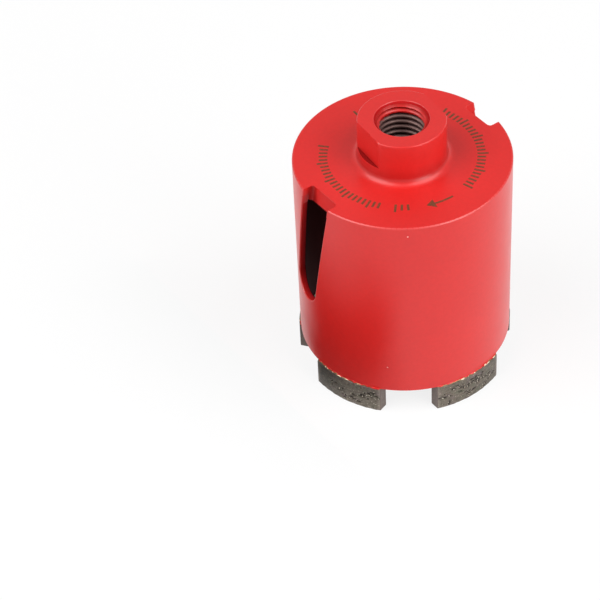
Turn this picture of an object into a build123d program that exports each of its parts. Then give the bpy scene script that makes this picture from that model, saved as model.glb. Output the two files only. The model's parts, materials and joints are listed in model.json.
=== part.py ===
"""Dry diamond core bit, 68 mm: a slotted steel barrel with a threaded hub and five brazed segments.

Millimetres, +Z up. The origin is the centre of the circle that the segments stand on. The mouths of
the two chip slots face +X and -X.
"""

import os

from build123d import *

# Barrel
barrel_diameter = 67.0
barrel_wall = 2.2
barrel_length = 64.6

# Flange: the plate that closes the barrel, turned in one piece with the hub
rim_thickness = 3.0
rim_round = 0.5
spigot_length = 3.6
spigot_clearance = 0.05
spigot_lead = 0.8

# Hub
hub_diameter = 27.0
hub_height = 14.3
hub_edge = 0.4
hub_fillet = 2.4
flats_across = 24.0
flats_length = 9.7
flats_turn = -6.0

# Spindle thread M16, bored at its nominal diameter, with a countersink at each end
thread_diameter = 16.0
countersink_diameter = 17.2

# Chip slots: each runs down from the rim, slanted, to a round end
slot_count = 2
slot_width = 12.0
slot_length = 40.0
slot_slant = 11.1
slot_depth_in_flange = 4.4
slot_corner = 1.2
slot_edge = 0.3

# Segments, brazed to the lower edge of the barrel by hand, so that the spaces between them differ
segment_turns = (270.0, 347.0, 57.0, 127.0, 198.0)
segment_thickness = 3.0
segment_width = 24.0
segment_height = 9.2
segment_proud = 0.5
braze_thickness = 0.2

# How near an edge's radius and height must be to the ones asked for
match = 0.01

# Radii, turns and levels that follow
barrel_radius = barrel_diameter / 2
barrel_inner_radius = barrel_radius - barrel_wall
spigot_radius = barrel_inner_radius - spigot_clearance
hub_radius = hub_diameter / 2
thread_radius = thread_diameter / 2
countersink_radius = countersink_diameter / 2
segment_outer_radius = barrel_radius + segment_proud
segment_inner_radius = segment_outer_radius - segment_thickness

barrel_bottom = segment_height + braze_thickness
barrel_top = barrel_bottom + barrel_length
flange_bottom = barrel_top - spigot_length
flange_top = barrel_top + rim_thickness
hub_top = flange_top + hub_height

slot_turns = [number * 360 / slot_count for number in range(slot_count)]


def circle_at(part, radius, height):
    """The circular edge of a turned part that has this radius and lies at this height."""
    return part.edges().filter_by(
        lambda edge: edge.geom_type == GeomType.CIRCLE
        and abs(edge.radius - radius) < match
        and abs(edge.center().Z - height) < match
    )


def slot_cutter(turn, start, corner=0.0):
    """What a milling cutter sweeps along one slot, from this distance off the axis outwards."""
    outward = Vector(1, 0, 0).rotate(Axis.Z, turn)
    square = Vector(0, 1, 0).rotate(Axis.Z, turn)
    across = square.rotate(Axis((0, 0, 0), outward), -slot_slant)
    mouth = outward * start + Vector(0, 0, flange_top)
    with BuildPart() as cutter:
        with BuildSketch(Plane(mouth, x_dir=across, z_dir=outward)):
            with Locations((0, -slot_length)):
                Circle(slot_width / 2)
                Rectangle(
                    slot_width,
                    slot_length + slot_width,
                    align=(Align.CENTER, Align.MIN),
                )
        extrude(amount=barrel_diameter)
        if corner > 0:
            nose = cutter.faces().sort_by(Axis((0, 0, 0), outward))[0]
            fillet(nose.edges(), corner)
    return cutter.part


def make_flange():
    """The plate with its rim and spigot, and the hub with its thread bore and wrench flats."""
    cutters = [
        slot_cutter(turn, barrel_radius - slot_depth_in_flange, slot_corner)
        for turn in slot_turns
    ]
    with BuildPart() as flange:
        with BuildSketch(Plane.XZ):
            with BuildLine():
                Polyline(
                    (0, flange_bottom),
                    (spigot_radius, flange_bottom),
                    (spigot_radius, barrel_top),
                    (barrel_radius, barrel_top),
                    (barrel_radius, flange_top),
                    (hub_radius, flange_top),
                    (hub_radius, hub_top),
                    (0, hub_top),
                    close=True,
                )
            make_face()
        revolve(axis=Axis.Z)
        fillet(circle_at(flange, hub_radius, flange_top), hub_fillet)
        fillet(circle_at(flange, barrel_radius, flange_top), rim_round)
        chamfer(circle_at(flange, hub_radius, hub_top), hub_edge)
        chamfer(circle_at(flange, spigot_radius, flange_bottom), spigot_lead)

        with Locations((0, 0, hub_top)):
            Hole(thread_radius)
        for height in (flange_bottom, hub_top):
            chamfer(
                circle_at(flange, thread_radius, height),
                countersink_radius - thread_radius,
            )

        with BuildSketch(Plane.XY.offset(hub_top)):
            Circle(hub_radius + hub_edge)
            Rectangle(
                flats_across,
                2 * hub_diameter,
                rotation=flats_turn,
                mode=Mode.SUBTRACT,
            )
        extrude(amount=-flats_length, mode=Mode.SUBTRACT)

        for cutter in cutters:
            add(cutter, mode=Mode.SUBTRACT)
    flange.part.label = "hub_flange"
    return flange.part


def make_barrel():
    """The tube, with a slot cut right through each side and up through its top edge, deburred."""
    cutters = [slot_cutter(turn, 0) for turn in slot_turns]
    with BuildPart() as barrel:
        with BuildSketch(Plane.XY.offset(barrel_bottom)):
            Circle(barrel_radius)
            Circle(barrel_inner_radius, mode=Mode.SUBTRACT)
        extrude(amount=barrel_length)
        for cutter in cutters:
            add(cutter, mode=Mode.SUBTRACT)
        outside = barrel.faces().filter_by(GeomType.CYLINDER).sort_by(SortBy.AREA)[-1]
        ends = barrel.faces().filter_by(Axis.Z).edges()
        chamfer(outside.edges() - ends, slot_edge)
    barrel.part.label = "barrel"
    return barrel.part


def make_rim_block(label, turn, outer, inner, bottom, height):
    """A block bent to the barrel's circle, with parallel ends one segment's width apart."""
    with BuildPart() as block:
        with BuildSketch(Plane.XY.offset(bottom).rotated((0, 0, turn))):
            Circle(outer)
            Circle(inner, mode=Mode.SUBTRACT)
            Rectangle(
                outer,
                segment_width,
                align=(Align.MIN, Align.CENTER),
                mode=Mode.INTERSECT,
            )
        extrude(amount=height)
    block.part.label = label
    return block.part


pieces = [make_flange(), make_barrel()]
for number, turn in enumerate(segment_turns, start=1):
    pieces.append(
        make_rim_block(
            f"segment_{number}",
            turn,
            segment_outer_radius,
            segment_inner_radius,
            0,
            segment_height,
        )
    )
    pieces.append(
        make_rim_block(
            f"braze_{number}",
            turn,
            barrel_radius,
            barrel_inner_radius,
            segment_height,
            braze_thickness,
        )
    )

os.makedirs("parts", exist_ok=True)
for piece in pieces:
    export_step(piece, f"parts/{piece.label}.step")
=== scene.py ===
"""The diamond core bit dressed for rendering: satin red paint, etched scale, spindle thread, braze
and sintered segments, on a plain white floor.

Lengths are written in millimetres times MM, because Blender's frame is in metres. Angles round the
axis are in degrees from +X, anticlockwise seen from above.
"""

import json
import math
import random

import bmesh
import bpy
import numpy as np
from mathutils import Matrix, Vector, noise


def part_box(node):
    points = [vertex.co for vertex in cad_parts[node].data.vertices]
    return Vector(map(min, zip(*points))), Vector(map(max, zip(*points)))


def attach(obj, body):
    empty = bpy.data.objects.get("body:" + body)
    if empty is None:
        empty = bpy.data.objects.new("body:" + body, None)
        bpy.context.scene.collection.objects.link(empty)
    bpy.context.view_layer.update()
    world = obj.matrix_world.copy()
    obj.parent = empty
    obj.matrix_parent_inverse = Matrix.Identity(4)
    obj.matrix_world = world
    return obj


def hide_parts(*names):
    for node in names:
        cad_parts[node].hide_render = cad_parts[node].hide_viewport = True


MM = 0.001
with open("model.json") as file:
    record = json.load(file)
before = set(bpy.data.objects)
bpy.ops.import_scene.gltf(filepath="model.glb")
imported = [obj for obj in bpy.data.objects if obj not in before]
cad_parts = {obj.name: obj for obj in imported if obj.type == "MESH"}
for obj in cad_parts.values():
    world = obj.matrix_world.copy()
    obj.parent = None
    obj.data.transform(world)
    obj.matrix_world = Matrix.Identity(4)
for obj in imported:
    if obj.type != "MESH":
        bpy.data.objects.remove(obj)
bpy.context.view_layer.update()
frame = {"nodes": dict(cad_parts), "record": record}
nodes = frame["nodes"]

# Sizes read from the frame
barrel_low, barrel_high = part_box("barrel")
segment_low, segment_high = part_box("segment_1")  # the segment on the -Y side
flange_low, flange_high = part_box("hub_flange")
mounts = {mount["name"]: mount for mount in frame["record"]["mounts"]}


def points_of(name):
    """A node's points in the frame, one a row."""
    return np.array([vertex.co for vertex in nodes[name].data.vertices])


def turn_of(name):
    """The angle at which a node stands on the circle, in degrees."""
    x, y, _ = points_of(name).mean(axis=0)
    return math.degrees(math.atan2(y, x)) % 360


barrel_radius = barrel_high.y
barrel_bottom = barrel_low.z
barrel_top = barrel_high.z
hub_top = flange_high.z
segment_outer_radius = -segment_low.y
segment_half_width = segment_high.x
segment_inner_radius = math.hypot(segment_high.x, segment_high.y)
segment_thickness = segment_outer_radius - segment_inner_radius
segment_middle_radius = (segment_outer_radius + segment_inner_radius) / 2
segment_top = segment_high.z
segment_turns = [turn_of(f"segment_{number}") for number in range(1, 6)]

barrel_inner_radius = np.hypot(*points_of("barrel")[:, :2].T).min()
flange_points = points_of("hub_flange")
on_rim = np.hypot(flange_points[:, 0], flange_points[:, 1]) > barrel_radius - 2 * MM
plate_top = flange_points[on_rim, 2].max()

# Plate's rim, and the hub with its two wrench flats and the mouth of its bore
rim_round = 0.5 * MM
hub_radius = 13.5 * MM
hub_edge_size = 0.4 * MM
flat_distance = 12.0 * MM
flats_turn = -6.0
flat_bottom = hub_top - 9.7 * MM
flat_margin = 0.5  # degrees that the hub's edge stops short of a flat
mouth_round = 0.2 * MM

# Chip slots, and half the width of one with its deburred edges
slot_half_width = 6.0 * MM
slot_length = 40.0 * MM
slot_slant = 11.1
slot_edge = 0.3 * MM
slot_reach = slot_half_width + slot_edge
slot_turns = (0, 180)

# Nibs of dust in the barrel's paint: the turn and the height in millimetres of each, their radius,
# and how deep their middles lie in the paint
nibs = [(222.8, 19.3), (234.5, 73.8), (121.0, 52.0), (318.0, 23.5)]
nib_radius = 0.26 * MM
nib_sunk = 0.14 * MM

# Etched scale on the plate: runs of strokes, each from one angle to another, and an arrow
mark_inner_radius = 22.7 * MM
mark_length = 2.6 * MM
mark_width = 0.72 * MM
mark_step = 3.8
mark_groups = [(87, 87), (131, 215), (227, 236), (285, 380)]
mark_proud = 0.02 * MM
long_mark = 1.3  # times a plain one
arrow_turns = (270, 249)
arrow_shaft = 0.7  # of the arrow's length
arrow_level = 0.6  # of a mark's length, from its inner end
arrow_barb = 1.9 * MM

# Spindle thread
thread_pitch = 2.0 * MM
thread_radius = mounts["spindle_thread"]["dims"]["r_mm"] * MM
thread_skin = 0.07 * MM
thread_wall = 0.02 * MM
thread_depth = 0.5413 * thread_pitch
countersink_radius = thread_radius + 0.6 * MM
thread_start = -1.65  # turns
painted_depth = 4.1 * MM

# Segments: size of the mesh's cells, soft edge, width of the painted highlight at the ends,
# clusters of pits in each face, and how much darker each segment grows towards one end (below 0:
# towards its start)
segment_cell = 0.18 * MM
segment_edge = 0.16 * MM
highlight_width = 1.0 * MM
pit_clusters = (14, 9, 9, 9, 8)
segment_darkening = (0.3, -0.5, 0.4, 0.6, -1.0)

# Pits, in millimetres: spread of a cluster across and up, half width, half height and depth
pit_spread = (1.4, 0.6)
pit_half_widths = (0.30, 0.95)
pit_half_heights = (0.22, 0.55)
pit_depths = (0.18, 0.42)

# Grit: its size in millimetres, and the share of the pits that hold a crystal
grit_sizes = (0.18, 0.34)
grit_share = 0.7

# Large drops of braze: segment, place across it, half length and half height in millimetres, and
# how far paint covers it
large_drops = [
    (5, -2.3, 0.85, 0.36, 0.0),
    (5, 10.2, 1.6, 0.40, 1.0),
    (1, -3.4, 0.75, 0.33, 0.0),
    (1, 6.1, 1.1, 0.34, 0.6),
    (2, 2.6, 0.9, 0.36, 0.0),
    (3, -6.0, 1.3, 0.38, 1.0),
    (4, 4.8, 0.8, 0.34, 0.0),
]

# How near two vertices are merged, and how near a point is to a face that it counts as on
merge_distance = 0.0005 * MM
face_match = 0.01 * MM

# Camera, on the -X -Y side
camera_place = Vector((-338.6, -439.7, 543.6)) * MM
camera_heading = math.radians(34.15)  # clockwise from +Y
camera_dip = math.radians(43.43)
camera_roll = math.radians(-3.27)
camera_focal_px = 2390.7
camera_azimuth = math.degrees(math.atan2(camera_place.y, camera_place.x))
image_px = 600

# Light of the floor and the world, as the camera sees it and as it falls on things, and how far
# the floor lies under the part
floor_drop = 0.02 * MM
floor_grey = 0.85
floor_glow = 1.04
floor_glow_share = 0.8
world_seen = 0.7
world_light = 0.01


# ---------------------------------------------------------------- meshes


def add_piece(name, vertices, faces, material, smooth=True):
    """A new piece that rides on the part's one body."""
    mesh = bpy.data.meshes.new(name)
    mesh.from_pydata([tuple(v) for v in vertices], [], [tuple(f) for f in faces])
    mesh.validate()
    piece = bpy.data.objects.new(name, mesh)
    bpy.context.scene.collection.objects.link(piece)
    mesh.materials.append(material)
    for polygon in mesh.polygons:
        polygon.use_smooth = smooth
    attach(piece, "root")
    return piece


def clean(piece):
    """Merges the vertices that lie together and turns every face outwards."""
    mesh = bmesh.new()
    mesh.from_mesh(piece.data)
    bmesh.ops.remove_doubles(mesh, verts=mesh.verts, dist=merge_distance)
    bmesh.ops.dissolve_degenerate(mesh, edges=mesh.edges, dist=merge_distance)
    bmesh.ops.recalc_face_normals(mesh, faces=mesh.faces)
    mesh.to_mesh(piece.data)
    mesh.free()


def write_attribute(mesh, name, values):
    """Stores one number, or one vector, for each point of a mesh."""
    values = np.asarray(values, dtype=np.float32)
    kind, field = ("FLOAT", "value") if values.ndim == 1 else ("FLOAT_VECTOR", "vector")
    mesh.attributes.new(name, kind, "POINT").data.foreach_set(field, values.ravel())


def loft(first, stations, size, closed=False):
    """The faces of a tube through rings of this size, the first of which starts at this point."""
    faces = []
    for station in range(stations):
        here = first + station * size
        there = first + (station + 1) % stations * size if closed else here + size
        for side in range(size):
            after = (side + 1) % size
            faces.append((here + side, here + after, there + after, there + side))
    if not closed:
        faces.append([first + side for side in reversed(range(size))])
        faces.append([first + stations * size + side for side in range(size)])
    return faces


def ball(radius):
    """The points and faces of a small ball."""
    mesh = bmesh.new()
    bmesh.ops.create_icosphere(mesh, subdivisions=2, radius=radius)
    points = [vertex.co.copy() for vertex in mesh.verts]
    faces = [[vertex.index for vertex in face.verts] for face in mesh.faces]
    mesh.free()
    return points, faces


# ---------------------------------------------------------------- materials


class Finish:
    """A material's node tree. Its texture coordinates are the part's own, in millimetres."""

    def __init__(self, name):
        self.material = bpy.data.materials.new(name)
        self.material.use_nodes = True
        self.tree = self.material.node_tree
        self.tree.nodes.clear()
        coordinates = self.add("ShaderNodeTexCoord").outputs["Object"]
        self.place = self.vector("SCALE", coordinates, scale=1 / MM)

    def add(self, kind, **settings):
        node = self.tree.nodes.new(kind)
        for name, value in settings.items():
            setattr(node, name, value)
        return node

    def set(self, socket, value):
        """Links a socket to another, or writes a constant on it."""
        if isinstance(value, bpy.types.NodeSocket):
            self.tree.links.new(value, socket)
        else:
            socket.default_value = value

    def vector(self, operation, *values, scale=None):
        node = self.add("ShaderNodeVectorMath", operation=operation)
        for socket, value in zip(node.inputs, values):
            self.set(socket, value)
        if scale is not None:
            node.inputs["Scale"].default_value = scale
        return node.outputs["Vector"]

    def math(self, operation, *values):
        node = self.add("ShaderNodeMath", operation=operation)
        for socket, value in zip(node.inputs, values):
            self.set(socket, value)
        return node.outputs[0]

    def times(self, first, *others):
        """The product of two or more values."""
        for other in others:
            first = self.math("MULTIPLY", first, other)
        return first

    def noise(self, size, detail=2.0, roughness=0.5, stretch=None):
        """Noise from 0 to 1, with features of about this size in millimetres."""
        place = self.place if stretch is None else self.vector("MULTIPLY", self.place, stretch)
        node = self.add("ShaderNodeTexNoise")
        self.set(node.inputs["Vector"], place)
        node.inputs["Scale"].default_value = 1 / size
        node.inputs["Detail"].default_value = detail
        node.inputs["Roughness"].default_value = roughness
        return node.outputs["Fac"]

    def remap(self, value, low, high, to_low=0.0, to_high=1.0):
        node = self.add("ShaderNodeMapRange", interpolation_type="SMOOTHSTEP")
        settings = (value, low, high, to_low, to_high)
        for name, setting in zip(("Value", "From Min", "From Max", "To Min", "To Max"), settings):
            self.set(node.inputs[name], setting)
        return node.outputs["Result"]

    def mask(self, value, level, none, full):
        """0 at the first distance past a level in metres and 1 at the second, in millimetres."""
        return self.remap(value, level / MM + none, level / MM + full)

    def near(self, value, level, none, full):
        """As mask, by the distance to either side of the level."""
        away = self.math("ABSOLUTE", self.math("SUBTRACT", value, level / MM))
        return self.remap(away, none, full)

    def mix(self, factor, first, second):
        """A colour between two others."""
        node = self.add("ShaderNodeMix", data_type="RGBA")
        self.set(node.inputs[0], factor)
        for socket, colour in zip((node.inputs[6], node.inputs[7]), (first, second)):
            self.set(socket, colour if isinstance(colour, bpy.types.NodeSocket) else (*colour, 1))
        return node.outputs[2]

    def tint(self, colour, *layers):
        """A colour under others, each given as its factor and its colour."""
        for factor, other in layers:
            colour = self.mix(factor, colour, other)
        return colour

    def bump(self, height, depth):
        """Tilts the surface by a height from 0 to 1 that stands for this depth in millimetres."""
        node = self.add("ShaderNodeBump")
        node.inputs["Strength"].default_value = 1.0
        node.inputs["Distance"].default_value = depth * MM
        self.set(node.inputs["Height"], height)
        return node.outputs["Normal"]

    def attribute(self, name):
        return self.add("ShaderNodeAttribute", attribute_name=name).outputs["Fac"]

    def aside(self):
        """How far a point lies aside of a chip slot's middle: towards +Y by the slot on -X."""
        split = self.add("ShaderNodeSeparateXYZ")
        self.set(split.inputs[0], self.place)
        side = self.math("SIGN", split.outputs["X"])
        return self.times(split.outputs["Y"], side, -1.0)

    def radius_and_height(self):
        """The distance from the part's axis and the height over the floor, in millimetres."""
        split = self.add("ShaderNodeSeparateXYZ")
        self.set(split.inputs[0], self.place)
        x, y, z = split.outputs
        squares = self.math("ADD", self.times(x, x), self.times(y, y))
        return self.math("SQRT", squares), z

    def shader(self, **inputs):
        node = self.add("ShaderNodeBsdfPrincipled")
        for name, value in inputs.items():
            socket = node.inputs[name.replace("_", " ")]
            colour = socket.type == "RGBA" and not isinstance(value, bpy.types.NodeSocket)
            self.set(socket, (*value, 1) if colour else value)
        return node.outputs[0]

    def blend(self, factor, first, second):
        """A shader between two others."""
        node = self.add("ShaderNodeMixShader")
        for socket, value in zip(node.inputs, (factor, first, second)):
            self.set(socket, value)
        return node.outputs[0]

    def finish(self, shader):
        output = self.add("ShaderNodeOutputMaterial")
        self.tree.links.new(shader, output.inputs["Surface"])
        return self.material


paint_deep = (0.68, 0.017, 0.015)
paint_bright = (0.76, 0.021, 0.018)
# The next four colours are painted shade: low on the hub and on the flats' step (the first also
# darkens the paint's flecks), deep in the slots and on the bore's cone, in the notches' corners,
# and inside the barrel
paint_shadow = (0.30, 0.008, 0.008)
paint_in_slot = (0.36, 0.006, 0.010)
paint_in_corner = (0.14, 0.001, 0.001)
barrel_inside_shade = (0.050, 0.0006, 0.0010)

# The paint's roughness, what the open plate adds to it, and how the dull paint shines
paint_roughness = (0.285, 0.31)
plate_roughness = 0.14
dull_roughness = 0.8
dull_gloss = 0.08


def paint_layer(finish, gloss=0.5):
    """Satin red paint sprayed over steel, with faint clouds and orange peel.

    It has painted shade low on the hub, on the flats' step, on the bore's cone, deep in the
    slots, in the notches' corners and inside the barrel, and it is dull in the slots.
    """
    clouds = finish.noise(18, detail=3)
    flecks = finish.noise(1.2, detail=1)
    radius, height = finish.radius_and_height()

    # Painted shade inside the barrel, under the flange: the paint there turns near-black
    inside = finish.times(
        finish.mask(radius, barrel_inner_radius, 0.3, 0.1),
        finish.mask(height, flange_low.z, 0.5, 0.2),
    )
    in_slot = finish.times(
        finish.mask(radius, barrel_radius, -0.32, -0.42),
        finish.mask(height, plate_top, -0.1, -0.3),
    )
    # The bore's countersink cone: dull, and darkened as painted shade
    on_cone = finish.times(
        finish.mask(radius, countersink_radius, 0.06, 0.0),
        finish.mask(radius, thread_radius, -0.07, -0.03),
        finish.mask(height, hub_top, -0.15, -0.22),
        finish.mask(height, hub_top, -1.0, -0.8),
    )
    # Painted shade on the step under each wrench flat
    on_step = finish.times(
        finish.near(height, flat_bottom, 0.10, 0.05),
        finish.mask(radius, hub_radius, -0.02, -0.10),
    )
    # Painted shade low on the hub's side, over its foot
    foot = finish.times(
        finish.mask(radius, hub_radius, 0.9, 0.2),
        finish.mask(height, plate_top, 7.0, 0.6),
    )
    open_plate = finish.times(
        finish.near(height, plate_top, 0.06, 0.03),
        finish.mask(radius, hub_radius, 2.4, 11.5),
    )
    # Painted shade on the slots' cut faces, darker deeper into the wall
    depth = finish.times(
        finish.remap(radius, barrel_radius / MM - 0.5, barrel_inner_radius / MM + 0.2, 0.2, 1.0),
        finish.mask(height, barrel_top, 0.0, -0.3),
        finish.mask(radius, barrel_inner_radius, -0.04, -0.01),
    )
    # Painted shade in the notches' inner corners
    corner = finish.times(
        finish.remap(finish.aside(), 3.6, 5.6),
        finish.mask(radius, barrel_radius, -1.0, -2.5),
        finish.math("SUBTRACT", 1.0, depth),
        in_slot,
    )

    # The paint's tone and flecks, and painted shade low on the hub
    colour = finish.tint(
        finish.mix(clouds, paint_deep, paint_bright),
        (finish.remap(flecks, 0.3, 0.7, 0.0, 0.06), paint_shadow),
        (finish.times(foot, 0.45), paint_shadow),
    )
    # The dull paint: painted shade deep in the slots, on the bore's cone, in the notches' corners,
    # on the flats' step and inside the barrel
    dull_colour = finish.tint(
        colour,
        (depth, paint_in_slot),
        (finish.times(on_cone, 0.6), paint_in_slot),
        (finish.times(corner, 0.75), paint_in_corner),
        (on_step, paint_shadow),
        (inside, barrel_inside_shade),
    )

    roughness = finish.remap(finish.noise(6.0, detail=1), 0.3, 0.7, *paint_roughness)
    glossy = finish.shader(
        Base_Color=colour,
        Roughness=finish.math("ADD", roughness, finish.times(open_plate, plate_roughness)),
        IOR=1.5,
        Specular_IOR_Level=gloss,
        Normal=finish.bump(finish.noise(1.4, detail=1), 0.008),
    )
    dull = finish.shader(
        Base_Color=dull_colour, Roughness=dull_roughness, Specular_IOR_Level=dull_gloss
    )
    low_in_slot = finish.remap(height, flange_low.z / MM, flange_low.z / MM - 0.4, 0.65, 1.0)
    in_slot = finish.times(in_slot, low_in_slot)
    is_dull = finish.math("MAXIMUM", in_slot, finish.math("MAXIMUM", on_cone, on_step))
    return finish.blend(is_dull, glossy, dull)


def make_paint(name, gloss):
    finish = Finish(name)
    return finish.finish(paint_layer(finish, gloss))


def steel_layer(finish, groove):
    """Bare tapped steel with a brown bloom, and painted shade in its grooves."""
    bloom = finish.noise(1.6, detail=3)
    colour = finish.mix(bloom, (0.120, 0.046, 0.044), (0.215, 0.135, 0.112))
    colour = finish.mix(groove, colour, (0.034, 0.004, 0.004))
    worn = finish.noise(0.8, detail=2)
    return finish.shader(
        Base_Color=colour,
        Metallic=0.4,
        Roughness=finish.remap(worn, 0.3, 0.7, 0.32, 0.48),
        Normal=finish.bump(worn, 0.01),
    )


def make_thread_finish():
    """Paint on the first turns of the thread, and bare steel under them."""
    finish = Finish("thread_steel")
    radius, height = finish.radius_and_height()
    crest = (thread_radius - thread_depth) / MM
    # Painted shade in the thread's grooves, deepest at the root
    groove = finish.remap(radius, crest + 0.25, crest + 0.75)
    wander = finish.remap(finish.noise(3.0, detail=3), 0.3, 0.7, -0.3, 0.3)
    level = finish.math("ADD", height, wander)
    edge = (hub_top - painted_depth) / MM
    painted = finish.remap(level, edge - 0.2, edge + 0.2)
    shaded = finish.shader(Base_Color=(0.40, 0.010, 0.008), Roughness=0.6, Specular_IOR_Level=0.1)
    paint_in_bore = finish.blend(finish.times(groove, 0.75), paint_layer(finish), shaded)
    return finish.finish(finish.blend(painted, steel_layer(finish, groove), paint_in_bore))


def make_nib_finish():
    """Paint over a grain of dust, worn pale."""
    finish = Finish("pale_paint")
    worn = finish.noise(0.3)
    colour = finish.mix(worn, (0.85, 0.30, 0.26), (0.95, 0.60, 0.55))
    return finish.finish(finish.shader(Base_Color=colour, Roughness=0.35))


def make_etching():
    """Olive-brown marking, uneven where the paint was burnt."""
    finish = Finish("etched_marks")
    patches = finish.noise(0.9, detail=3)
    colour = finish.mix(patches, (0.080, 0.026, 0.008), (0.18, 0.060, 0.018))
    colour = finish.mix(finish.remap(finish.noise(0.5), 0.52, 0.74, 0.0, 0.6), colour, paint_deep)
    return finish.finish(
        finish.shader(
            Base_Color=colour,
            Roughness=finish.remap(patches, 0.3, 0.7, 0.5, 0.7),
            Normal=finish.bump(finish.noise(0.2), 0.01),
        )
    )


def make_sinter():
    """Sintered metal ground along the segment: grey-brown, with painted shade on its end faces and
    in its pits, a painted highlight near each end, and darker towards one end.
    """
    finish = Finish("sintered_segment")
    cavity = finish.attribute("cavity")
    end = finish.attribute("end_face")
    corner = finish.attribute("lit_corner")
    darkening = finish.attribute("darkening")
    place = finish.add("ShaderNodeAttribute", attribute_name="segment_place")
    finish.place = place.outputs["Vector"]
    patches = finish.noise(3.5, detail=3)
    mottle = finish.noise(0.8, detail=4, roughness=0.65)
    lines = finish.noise(0.30, detail=3, stretch=(0.12, 1.0, 1.0))
    hue = finish.noise(2.2, detail=2, stretch=(0.6, 1.0, 1.0))
    grains = finish.remap(finish.noise(0.55, detail=1), 0.66, 0.72)
    colour = finish.tint(
        finish.mix(patches, (0.132, 0.115, 0.084), (0.250, 0.210, 0.168)),
        (finish.remap(hue, 0.55, 0.72, 0.0, 0.6), (0.190, 0.120, 0.150)),
        (finish.remap(hue, 0.45, 0.28, 0.0, 0.6), (0.120, 0.135, 0.080)),
        (finish.remap(lines, 0.35, 0.68, 0.0, 0.50), (0.085, 0.070, 0.052)),
        (finish.remap(mottle, 0.50, 0.68, 0.0, 0.75), (0.050, 0.036, 0.028)),
        (finish.times(grains, 0.6), (0.60, 0.52, 0.44)),
        # Darker towards one end of each segment
        (finish.times(darkening, 0.85), (0.060, 0.052, 0.042)),
        # Painted highlight near each end of the segment
        (finish.times(corner, 0.45), (0.36, 0.30, 0.26)),
        # Painted shade on the end faces
        (finish.times(end, 0.7), (0.120, 0.088, 0.078)),
        # Painted shade in the pits
        (cavity, (0.020, 0.013, 0.009)),
    )
    return finish.finish(
        finish.shader(
            Base_Color=colour,
            Metallic=0.3,
            Roughness=finish.remap(lines, 0.3, 0.7, 0.42, 0.60),
            Normal=finish.bump(finish.math("ADD", lines, mottle), 0.05),
        )
    )


def make_grit():
    """Diamond grit: small pale yellowish crystals."""
    finish = Finish("diamond_grit")
    tint = finish.noise(0.9)
    return finish.finish(
        finish.shader(
            Base_Color=finish.mix(tint, (0.40, 0.32, 0.22), (0.80, 0.74, 0.64)),
            Roughness=finish.remap(tint, 0.3, 0.7, 0.14, 0.28),
            IOR=1.9,
        )
    )


def make_braze_finish():
    """Olive and pale gold braze, red where the paint has run over it."""
    finish = Finish("braze_metal")
    painted = finish.attribute("painted")
    pale = finish.attribute("pale")
    tone = finish.noise(0.9, detail=3)
    colour = finish.mix(tone, (0.10, 0.075, 0.028), (0.40, 0.29, 0.13))
    colour = finish.mix(pale, colour, (0.92, 0.74, 0.52))
    metal = finish.shader(
        Base_Color=colour,
        Metallic=0.45,
        Roughness=finish.remap(tone, 0.3, 0.7, 0.38, 0.25),
        Normal=finish.bump(finish.noise(0.3, detail=2), 0.03),
    )
    ragged = finish.remap(finish.noise(1.3), 0.3, 0.7, -0.45, 0.45)
    edge = finish.remap(finish.math("ADD", painted, ragged), 0.42, 0.58)
    return finish.finish(finish.blend(edge, metal, paint_layer(finish)))


paint = make_paint("red_paint", 0.5)
edge_paint = make_paint("red_paint_on_edges", 1.0)
thread_finish = make_thread_finish()
nib_finish = make_nib_finish()
etching = make_etching()
sinter = make_sinter()
grit_finish = make_grit()
braze_finish = make_braze_finish()


# ---------------------------------------------------------------- painted steel


def dress_steel():
    """The hub and barrel keep their CAD form and get the paint."""
    for name in ("hub_flange", "barrel"):
        for slot in nodes[name].material_slots:
            slot.material = paint


def make_rounding(name, radius, level, size, spans, material):
    """A fine quarter round along a turned part's top edge, over these spans of angle.

    A size below zero rounds the edge of a hole.
    """
    across, step = 10, 1.0
    vertices, faces = [], []
    for start, end in spans:
        stations = round((end - start) / step)
        closed = end - start >= 360
        first = len(vertices)
        profile = []
        for corner in range(across + 1):
            lift = math.radians(90) * corner / across
            reach = radius - size + size * math.cos(lift)
            profile.append((reach, level + abs(size) * (math.sin(lift) - 1)))
        profile.append((radius - size, level - abs(size)))
        for station in range(stations if closed else stations + 1):
            turn = math.radians(start + (end - start) * station / stations)
            for reach, height in profile:
                vertices.append((reach * math.cos(turn), reach * math.sin(turn), height))
        faces.extend(loft(first, stations, len(profile), closed))
    piece = add_piece(name, vertices, faces, material)
    clean(piece)
    piece.data.set_sharp_from_angle(angle=math.radians(30))


def make_edges():
    """The rim's round between the two slots, the hub's between its flats and its bore's."""
    slot_half = math.degrees(math.asin(slot_reach / barrel_radius))
    spans = [(turn + slot_half, turn + 180 - slot_half) for turn in slot_turns]
    make_rounding("rim_edge", barrel_radius, plate_top, rim_round, spans, edge_paint)
    flat_half = math.degrees(math.acos(flat_distance / hub_radius)) + flat_margin
    turns = [flats_turn + turn for turn in (0, 180)]
    spans = [(turn + flat_half, turn + 180 - flat_half) for turn in turns]
    make_rounding("hub_edge", hub_radius, hub_top, hub_edge_size, spans, paint)
    mouth = countersink_radius - mouth_round
    make_rounding("bore_edge", mouth, hub_top, -mouth_round, [(0, 360)], edge_paint)


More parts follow.
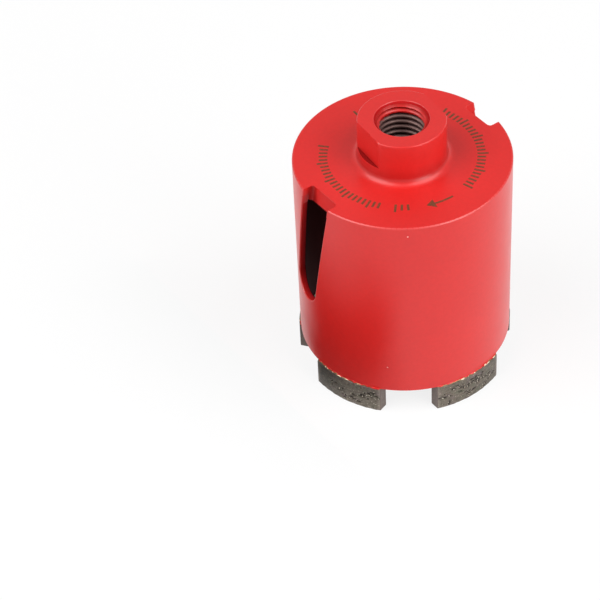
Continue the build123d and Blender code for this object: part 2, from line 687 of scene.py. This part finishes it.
def slot_outline():
    """The outer edge of a chip slot, down one side, round its end and up the other.

    Each point is given across the slot and up along it, from the middle of its mouth. These two
    directions, as they are for the slot on +X, come with it.
    """
    run_steps, arc_steps = 60, 30
    slant = math.radians(slot_slant)
    across = Vector((0, math.cos(slant), -math.sin(slant)))
    upward = Vector((0, math.sin(slant), math.cos(slant)))
    outline = []
    for side in (-1, 1):
        top = barrel_top - 0.05 * MM - plate_top
        highest = (top - side * slot_reach * across.z) / upward.z
        drop = -slot_length - highest
        steps = range(run_steps + 1)
        run = [(side * slot_reach, highest + drop * step / run_steps) for step in steps]
        outline.extend(run if side < 0 else reversed(run))
        if side < 0:
            for step in range(1, arc_steps):
                angle = math.pi * (1 + step / arc_steps)
                end = -slot_length + slot_reach * math.sin(angle)
                outline.append((slot_reach * math.cos(angle), end))
    return outline, across, upward


def make_slot_edges():
    """The paint's round along the outer edge of each slot: a fine bead set in the steel."""
    sides = 12
    outline, across, upward = slot_outline()
    for number, turn in enumerate(slot_turns, start=1):
        centres = []
        for u, v in outline:
            place = Vector((0, 0, plate_top)) + across * u + upward * v
            place.x = math.sqrt((barrel_radius - slot_edge) ** 2 - place.y**2)
            centres.append(Matrix.Rotation(math.radians(turn), 3, "Z") @ place)
        vertices = []
        for index, centre in enumerate(centres):
            before, after = centres[max(index - 1, 0)], centres[min(index + 1, len(centres) - 1)]
            along = (after - before).normalized()
            outward = Vector((centre.x, centre.y, 0)).normalized()
            outward = (outward - along * outward.dot(along)).normalized()
            aside = along.cross(outward)
            for side in range(sides):
                angle = math.tau * side / sides
                swing = outward * math.cos(angle) + aside * math.sin(angle)
                vertices.append(centre + swing * slot_edge)
        faces = loft(0, len(centres) - 1, sides)
        clean(add_piece(f"slot_edge_{number}", vertices, faces, edge_paint))


def make_nibs():
    """Nibs of dust in the paint of the barrel: low domes at these turns and heights."""
    dome, dome_faces = ball(nib_radius)
    vertices, faces = [], []
    for turn, height in nibs:
        first = len(vertices)
        angle = math.radians(turn)
        for point in dome:
            reach = barrel_radius - nib_sunk + point.x
            x = reach * math.cos(angle) - point.y * math.sin(angle)
            y = reach * math.sin(angle) + point.y * math.cos(angle)
            vertices.append((x, y, height * MM + point.z))
        faces.extend([first + index for index in face] for face in dome_faces)
    add_piece("paint_nibs", vertices, faces, nib_finish)


def make_thread():
    """The M16 x 2 right-hand thread, cut back by the countersink at each end of the bore."""
    crest = thread_radius - thread_depth
    root = thread_radius - thread_skin
    wall = root + thread_wall
    top = hub_top - (countersink_radius - root)
    bottom = flange_low.z + (countersink_radius - root)
    columns, steps, spare_turns = 120, 5, 3

    # One pitch: crest flat, flank out, root flat, flank back
    corners = [(0, crest), (1 / 4, crest), (9 / 16, root), (11 / 16, root), (1, crest)]
    outline = []
    for (start, inner), (end, outer) in zip(corners, corners[1:]):
        for step in range(steps):
            share = step / steps
            outline.append((start + (end - start) * share, inner + (outer - inner) * share))
    per_turn = len(outline)
    turns = math.ceil((top - bottom) / thread_pitch) + spare_turns
    rows = turns * per_turn

    vertices = []
    for column in range(columns):
        turn = column / columns
        for row in range(rows + per_turn):
            share, radius = outline[row % per_turn]
            height = bottom + (row // per_turn + thread_start + share + turn) * thread_pitch
            height = min(max(height, bottom), top)
            cut_back = max(
                countersink_radius - (hub_top - height),
                countersink_radius - (height - flange_low.z),
            )
            radius = min(max(radius, cut_back), root)
            angle = turn * math.tau
            vertices.append((radius * math.cos(angle), radius * math.sin(angle), height))
    column_length = rows + per_turn
    faces = []
    for column in range(columns):
        here = column * column_length
        last = column == columns - 1
        there = per_turn if last else here + column_length
        for row in range(rows - 1):
            faces.append((here + row, here + row + 1, there + row + 1, there + row))

    # The hidden outer wall, which closes the piece
    rings = []
    for radius, height in ((root, bottom), (wall, bottom), (wall, top), (root, top)):
        rings.append(len(vertices))
        for column in range(columns):
            angle = column / columns * math.tau
            vertices.append((radius * math.cos(angle), radius * math.sin(angle), height))
    for first, second in zip(rings, rings[1:]):
        for column in range(columns):
            after = (column + 1) % columns
            faces.append((first + column, first + after, second + after, second + column))
    clean(add_piece("spindle_thread", vertices, faces, thread_finish, smooth=False))


def on_plate(turn, radius, aside=0.0):
    """A point on the plate at this angle and radius, moved aside square to the radius."""
    angle = math.radians(turn)
    return (
        radius * math.cos(angle) - aside * math.sin(angle),
        radius * math.sin(angle) + aside * math.cos(angle),
    )


def make_marks():
    """Etched strokes round the hub, every fifth one longer, and an arrow for the way it turns."""
    half_width = mark_width / 2
    outlines = []
    for start, end in mark_groups:
        count = round((end - start) / mark_step)
        for number in range(count + 1):
            turn = start + (end - start) * number / max(count, 1)
            inner = mark_inner_radius
            outer = inner + mark_length * (long_mark if number % 5 == 0 else 1.0)
            corners = ((inner, -1), (outer, -1), (outer, 1), (inner, 1))
            outlines.append([on_plate(turn, reach, side * half_width) for reach, side in corners])

    tail, head = arrow_turns
    middle = mark_inner_radius + arrow_level * mark_length
    inner, outer = middle - half_width, middle + half_width
    steps = 24
    turns = [tail + (head - tail) * arrow_shaft * step / steps for step in range(steps + 1)]
    for first, second in zip(turns, turns[1:]):
        corners = ((first, inner), (first, outer), (second, outer), (second, inner))
        outlines.append([on_plate(turn, radius) for turn, radius in reversed(corners)])
    barbs = [on_plate(turns[-1], middle + side * arrow_barb) for side in (-1, 1)]
    outlines.append([on_plate(head, middle), *barbs])

    vertices, faces = [], []
    for outline in outlines:
        first, count = len(vertices), len(outline)
        for height in (plate_top - mark_proud, plate_top + mark_proud):
            vertices.extend((x, y, height) for x, y in outline)
        faces.append([first + corner for corner in reversed(range(count))])
        faces.append([first + count + corner for corner in range(count)])
        for side in range(count):
            low, after = first + side, first + (side + 1) % count
            faces.append((low, after, after + count, low + count))
    clean(add_piece("etched_scale", vertices, faces, etching, smooth=False))


# ---------------------------------------------------------------- segments


def box_grid(half_size, cells, edge_radius):
    """The skin of a box with rounded edges, as a closed grid: its points and its faces."""
    half = np.array(half_size)
    index, points, faces = {}, [], []

    def point(i, j, k):
        key = (i, j, k)
        if key not in index:
            index[key] = len(points)
            share = np.array([i, j, k]) / np.array(cells) * 2 - 1
            flat = share * half
            core = np.clip(flat, -(half - edge_radius), half - edge_radius)
            out = flat - core
            length = np.linalg.norm(out)
            points.append(core + out / length * edge_radius if length > 1e-12 else flat)
        return index[key]

    def add_face(*corners):
        faces.append([point(*corner) for corner in corners])

    a, b, c = cells
    for i in range(a):
        for j in range(b):
            add_face((i, j, 0), (i, j + 1, 0), (i + 1, j + 1, 0), (i + 1, j, 0))
            add_face((i, j, c), (i + 1, j, c), (i + 1, j + 1, c), (i, j + 1, c))
    for i in range(a):
        for k in range(c):
            add_face((i, 0, k), (i + 1, 0, k), (i + 1, 0, k + 1), (i, 0, k + 1))
            add_face((i, b, k), (i, b, k + 1), (i + 1, b, k + 1), (i + 1, b, k))
    for j in range(b):
        for k in range(c):
            add_face((0, j, k), (0, j, k + 1), (0, j + 1, k + 1), (0, j + 1, k))
            add_face((a, j, k), (a, j + 1, k), (a, j + 1, k + 1), (a, j, k + 1))
    return np.array(points), faces


def pit_list(draw, clusters):
    """Pits in clusters on one face: centre across and up, half sizes, depth, all in metres."""
    pits = []
    for _ in range(clusters):
        centre = draw.uniform(-0.88, 0.88) * segment_half_width
        height = draw.uniform(0.10, 0.78) * segment_top
        for _ in range(draw.randint(3, 7)):
            pits.append(
                (
                    centre + draw.gauss(0, pit_spread[0]) * MM,
                    height + draw.gauss(0, pit_spread[1]) * MM,
                    draw.uniform(*pit_half_widths) * MM,
                    draw.uniform(*pit_half_heights) * MM,
                    draw.uniform(*pit_depths) * MM,
                )
            )
    return pits


def bend(across, up, outward, turn):
    """A segment's own place, across its width, up and out from its mid wall, set on the circle.

    This mirrors: a mesh whose faces look outwards before it has them looking inwards after it.
    """
    radius = segment_middle_radius + outward
    depth = math.sqrt(max(radius * radius - across * across, 0))
    angle = math.radians(turn)
    x = depth * math.cos(angle) - across * math.sin(angle)
    y = depth * math.sin(angle) + across * math.cos(angle)
    return (x, y, up)


def make_crystals(number, turn, pits, draw):
    """Diamond grit standing in the pits of one segment, with its tips at the surface."""
    vertices, faces = [], []
    corners = [Vector(sign * axis) for axis in np.eye(3) for sign in (1, -1)]
    equator = ((0, 2), (2, 1), (1, 3), (3, 0))
    sides = [(a, b, 4) for a, b in equator] + [(b, a, 5) for a, b in equator]
    for side, (centre, height, wide, tall, _) in pits:
        if draw.random() > grit_share:
            continue
        size = draw.uniform(*grit_sizes) * MM
        across = centre + draw.uniform(-0.9, 0.9) * wide
        up = height + draw.uniform(-0.8, 0.8) * tall
        reach = size + 0.1 * MM
        if abs(across) > segment_half_width - reach or not reach < up < segment_top - reach:
            continue
        spin = Vector([draw.gauss(0, 1) for _ in range(3)]).normalized()
        tilt = Matrix.Rotation(draw.uniform(0, math.pi), 3, spin)
        out = side * (segment_thickness / 2 - size - face_match)
        first = len(vertices)
        for corner in corners:
            x, y, z = tilt @ corner * size
            vertices.append(bend(across + x, up + z, out + y, turn))
        faces.extend([first + corner for corner in face] for face in sides)
    add_piece(f"diamond_grit_{number}", vertices, faces, grit_finish, smooth=False)


def make_segment(number, turn, clusters):
    """A sintered segment with soft edges, and pits with grit in them in its two broad faces."""
    draw = random.Random(40 + number)
    half = np.array((segment_half_width, segment_thickness / 2, segment_top / 2))
    cells = [max(2, round(2 * size / segment_cell)) for size in half]
    points, faces = box_grid(half, cells, segment_edge)
    across, outward, up = points.T
    up = up + half[2]
    cavity = np.zeros(len(points))
    push = np.zeros(len(points))
    seeds = [Vector(point) / MM + Vector((number * 9, 0, 0)) for point in points]
    rough = np.array([noise.noise(seed / 0.45) for seed in seeds])
    waves = np.array([noise.noise(seed / 1.6) for seed in seeds])
    pits = []
    for side in (1, -1):
        on_face = outward * side > half[1] - face_match
        for pit in pit_list(draw, clusters):
            pits.append((side, pit))
            centre, height, wide, tall, depth = pit
            reach = np.hypot((across - centre) / wide, (up - height) / tall)
            inside = np.clip(1.3 - reach - 0.6 * rough, 0, 1)
            inside = inside * inside * (3 - 2 * inside) * on_face
            push = np.maximum(push, inside * depth)
            cavity = np.maximum(cavity, inside)

    # The broad faces are a little uneven, and the lower edge is chipped here and there
    broad = np.abs(outward) > half[1] - face_match
    inset = np.where(broad, 0.012 * MM * (1 + rough) + 0.03 * MM * (1 + waves), 0)
    lift = 0.06 * MM * np.clip(1 - up / (0.5 * MM), 0, 1) * np.clip(0.5 + 2.5 * waves, 0, 1)
    inset = inset + lift * (np.abs(outward) > half[1] - segment_edge)
    outward_now = outward - np.sign(outward) * (push + inset)
    vertices = [bend(a, u, o, turn) for a, u, o in zip(across, up + lift, outward_now)]
    piece = add_piece(f"segment_body_{number}", vertices, faces, sinter)

    from_end = half[0] - np.abs(across)
    slope = segment_darkening[number - 1] * across / half[0]
    # Painted shade in the pits and on the end faces, a painted highlight near each end, and darker
    # towards one end
    write_attribute(piece.data, "cavity", np.clip(cavity * 1.1, 0, 0.95))
    write_attribute(piece.data, "end_face", from_end < 0.5 * segment_edge)
    write_attribute(piece.data, "lit_corner", np.clip(1 - from_end / highlight_width, 0, 1) ** 0.5)
    write_attribute(piece.data, "darkening", np.clip(slope + 0.1 + 0.5 * waves, 0, 1))
    place = np.stack((across, up, outward), axis=1) / MM + np.array((number * 50.0, 0, 0))
    write_attribute(piece.data, "segment_place", place)
    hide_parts(f"segment_{number}")
    make_crystals(number, turn, pits, draw)


# ---------------------------------------------------------------- braze


def bead_profile(place, film_top):
    """A cross-section of the bead: radius, height over the segment, and how far paint covers it.

    Its climb up the barrel and its bulge past it wander with the place along it.
    """
    climb = (0.22 + 0.40 * noise.noise(place / 2.1) + 0.16 * noise.noise(place / 0.6)) * MM
    climb = max(climb, 0.04 * MM)
    bulge = (0.24 + 0.22 * noise.noise(place / 1.4) + 0.08 * noise.noise(place / 0.5)) * MM
    bulge = min(max(bulge, 0.08 * MM), 0.44 * MM)
    outer, inner = barrel_radius, barrel_inner_radius
    return [
        (segment_inner_radius + 0.03 * MM, -0.01 * MM, 0),
        (outer + bulge, -0.01 * MM, 0),
        (outer + 0.80 * bulge, 0.10 * MM, 0.2),
        (outer + 0.42 * bulge, film_top + 0.20 * climb, 0.6),
        (outer + 0.16 * bulge, film_top + 0.60 * climb, 0.9),
        (outer - 0.05 * MM, film_top + climb, 1.0),
        (outer - 0.05 * MM, film_top, 1.0),
        (inner + 0.05 * MM, film_top, 1.0),
        (inner + 0.05 * MM, film_top + 0.6 * climb, 1.0),
        (segment_inner_radius + 0.15 * MM, film_top, 0.4),
    ]


def drop_list(number, draw):
    """A segment's drops of braze: place across it, half length, half height and cover of paint."""
    drops = [drop[1:] for drop in large_drops if drop[0] == number]
    for _ in range(draw.randint(7, 10)):
        long = draw.choice((0.18, 0.24, 0.30, 0.42, 0.70))
        share = draw.choice((0.0, 0.0, 0.35))
        drops.append((draw.uniform(-11.2, 11.2), long, draw.uniform(0.14, 0.28), share))
    return drops


def make_braze(number, turn):
    """The braze between a segment and the barrel: a thin uneven bead, and drops on its outside."""
    draw = random.Random(90 + number)
    half = segment_half_width - 0.05 * MM
    stations = 160
    film_top = barrel_bottom - segment_top
    vertices, painted = [], []
    for station in range(stations + 1):
        across = -half + 2 * half * station / stations
        profile = bead_profile(Vector((across / MM, number * 7.0, 0)), film_top)
        for radius, height, share in profile:
            out = radius - segment_middle_radius
            vertices.append(bend(across, segment_top + height, out, turn))
            painted.append(share)
    faces = loft(0, stations, len(profile))
    bead_points = len(vertices)

    ball_points, ball_faces = ball(1)
    for drop, (centre, long, tall, share) in enumerate(drop_list(number, draw)):
        centre, long, tall = centre * MM, long * MM, tall * MM
        deep = draw.uniform(0.12, 0.20) * MM
        radius = segment_outer_radius - deep * 1.3 - 0.02 * MM
        height = segment_top + draw.uniform(0.05, 0.25) * MM
        first = len(vertices)
        for point in ball_points:
            swell = 1 + 0.25 * noise.noise(point * 1.5 + Vector((drop * 5, number, 0)))
            across = centre + point.x * long * swell
            out = radius + point.y * deep - segment_middle_radius
            vertices.append(bend(across, height + point.z * tall * swell, out, turn))
            painted.append(share)
        faces.extend([first + index for index in face] for face in ball_faces)

    piece = add_piece(f"braze_seam_{number}", vertices, faces, braze_finish)
    write_attribute(piece.data, "painted", painted)
    write_attribute(piece.data, "pale", np.arange(len(vertices)) >= bead_points)
    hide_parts(f"braze_{number}")


# ---------------------------------------------------------------- stage


def white_for_seen_rays(tree):
    """1 for what the camera sees, straight, mirrored or through glass, and 0 for other light."""
    path = tree.nodes.new("ShaderNodeLightPath")
    seen = path.outputs["Is Camera Ray"]
    for ray in ("Is Glossy Ray", "Is Transmission Ray"):
        node = tree.nodes.new("ShaderNodeMath")
        node.operation = "MAXIMUM"
        tree.links.new(seen, node.inputs[0])
        tree.links.new(path.outputs[ray], node.inputs[1])
        seen = node.outputs[0]
    return seen


def make_sweep():
    """A pale floor that curves up into a backdrop, looks white and keeps part of the shadow."""
    reach, curve, height, sides, steps = 3.0, 0.6, 1.0, 96, 12
    profile = [(0.0, 0.0), (reach - curve, 0.0)]
    for step in range(1, steps + 1):
        angle = math.radians(90) * step / steps
        profile.append((reach - curve + curve * math.sin(angle), curve * (1 - math.cos(angle))))
    profile.append((reach, height))
    mesh = bmesh.new()
    rings = []
    for radius, level in profile:
        ring = []
        for side in range(sides if radius else 1):
            angle = math.tau * side / sides
            across = (radius * math.cos(angle), radius * math.sin(angle))
            ring.append(mesh.verts.new((*across, level - floor_drop)))
        rings.append(ring)
    for inner, outer in zip(rings, rings[1:]):
        for side in range(sides):
            after = (side + 1) % sides
            corners = [outer[side], outer[after]]
            corners += [inner[0]] if len(inner) == 1 else [inner[after], inner[side]]
            face = mesh.faces.new(corners)
            face.smooth = True
    data = bpy.data.meshes.new("sweep")
    mesh.to_mesh(data)
    mesh.free()
    sweep = bpy.data.objects.new("sweep", data)
    bpy.context.scene.collection.objects.link(sweep)

    finish = Finish("sweep_white")
    matte = finish.add("ShaderNodeBsdfDiffuse")
    matte.inputs["Color"].default_value = (floor_grey, floor_grey, floor_grey, 1)
    glow = finish.add("ShaderNodeEmission")
    glow.inputs["Strength"].default_value = floor_glow
    share = finish.times(white_for_seen_rays(finish.tree), floor_glow_share)
    shader = finish.blend(share, matte.outputs[0], glow.outputs[0])
    data.materials.append(finish.finish(shader))


def make_world():
    """A dim world that looks white where the camera sees it, straight or by a mirror."""
    world = bpy.data.worlds.new("studio")
    bpy.context.scene.world = world
    world.use_nodes = True
    tree = world.node_tree
    background = tree.nodes["Background"]
    background.inputs["Color"].default_value = (1, 1, 1, 1)
    strength = tree.nodes.new("ShaderNodeMath")
    strength.operation = "MULTIPLY_ADD"
    tree.links.new(white_for_seen_rays(tree), strength.inputs[0])
    strength.inputs[1].default_value = world_seen
    strength.inputs[2].default_value = world_light
    tree.links.new(strength.outputs[0], background.inputs["Strength"])


def make_flag(name, stations):
    """A black card that the camera doesn't see and that thins out to nothing where its cover is 0.

    Each station is one cross-section of it: points in millimetres, each with its cover.
    """
    size = len(stations[0])
    points = [point for station in stations for point in station]
    faces = []
    for first in range(0, len(points) - size, size):
        for here in range(first, first + size - 1):
            faces.append((here, here + 1, here + size + 1, here + size))
    mesh = bpy.data.meshes.new(name)
    mesh.from_pydata([Vector(point[:3]) * MM for point in points], [], faces)
    write_attribute(mesh, "cover", [point[3] for point in points])
    flag = bpy.data.objects.new(name, mesh)
    bpy.context.scene.collection.objects.link(flag)

    finish = Finish(f"{name}_black")
    clear = finish.add("ShaderNodeBsdfTransparent")
    black = finish.add("ShaderNodeBsdfDiffuse")
    black.inputs["Color"].default_value = (0.02, 0.02, 0.02, 1)
    shader = finish.blend(finish.attribute("cover"), clear.outputs[0], black.outputs[0])
    mesh.materials.append(finish.finish(shader))
    flag.visible_camera = False
    flag.visible_shadow = False
    return flag


def make_flags():
    """Dark things beside the part, as its own tools that lie there would be: one up, one flat."""
    stations = []
    for cover, y in ((0, -58), (1, -30), (1, 84)):
        stations.append(
            [(-47, y, 0, cover), (-47, y, 18, cover), (-52, y, 18, cover), (-86, y, 18, 0)]
        )
    make_flag("flag", stations)
    level = 0.5
    stations = [
        [(-47, -54, level, 0), (-24, -38, level, 0)],
        [(-47, -28, level, 1), (-36, -18, level, 1)],
        [(-47, -10, level, 1), (-36.8, -10, level, 1)],
        [(-47, 16, level, 1), (-36, 16, level, 1)],
        [(-47, 48, level, 0), (-30, 40, level, 0)],
    ]
    make_flag("low_flag", stations).visible_diffuse = False


def add_softbox(name, azimuth, elevation, size, strength, distance=2.0):
    """A square area lamp aimed at the part. azimuth is anticlockwise from the camera's side."""
    target = Vector((0, 0, 45 * MM))
    turn = math.radians(camera_azimuth + azimuth)
    lift = math.radians(elevation)
    level = Vector((math.cos(turn), math.sin(turn), 0))
    away = level * math.cos(lift) + Vector((0, 0, math.sin(lift)))
    lamp = bpy.data.lights.new(name, "AREA")
    lamp.shape = "SQUARE"
    lamp.size = size
    lamp.energy = strength
    softbox = bpy.data.objects.new(name, lamp)
    bpy.context.scene.collection.objects.link(softbox)
    softbox.location = target + away * distance
    softbox.rotation_euler = (-away).to_track_quat("-Z", "Y").to_euler()


def make_camera():
    """The camera looks down on the part from its -X -Y side."""
    heading, dip, roll = camera_heading, camera_dip, camera_roll
    forward = Vector(
        (math.sin(heading) * math.cos(dip), math.cos(heading) * math.cos(dip), -math.sin(dip))
    )
    level = Vector((math.cos(heading), -math.sin(heading), 0))
    upward = level.cross(forward)
    right = level * math.cos(roll) + upward * math.sin(roll)
    up = upward * math.cos(roll) - level * math.sin(roll)
    lens = bpy.data.cameras.new("camera")
    lens.sensor_width = 36.0
    lens.lens = camera_focal_px * lens.sensor_width / image_px
    lens.clip_start = 0.01
    lens.clip_end = 20.0
    camera = bpy.data.objects.new("camera", lens)
    bpy.context.scene.collection.objects.link(camera)
    turned = Matrix((right, up, -forward)).transposed().to_4x4()
    camera.matrix_world = Matrix.Translation(camera_place) @ turned
    bpy.context.scene.camera = camera


make_camera()
make_world()
make_sweep()
make_flags()
add_softbox("left_softbox", azimuth=-66, elevation=49, size=1.7, strength=33)
add_softbox("right_softbox", azimuth=66, elevation=49, size=1.7, strength=28)
add_softbox("low_right_softbox", azimuth=46, elevation=15, size=1.1, strength=11)

dress_steel()
make_edges()
make_slot_edges()
make_nibs()
make_thread()
make_marks()
for number, (turn, clusters) in enumerate(zip(segment_turns, pit_clusters), start=1):
    make_segment(number, turn, clusters)
    make_braze(number, turn)

bpy.context.scene.view_settings.view_transform = "Standard"
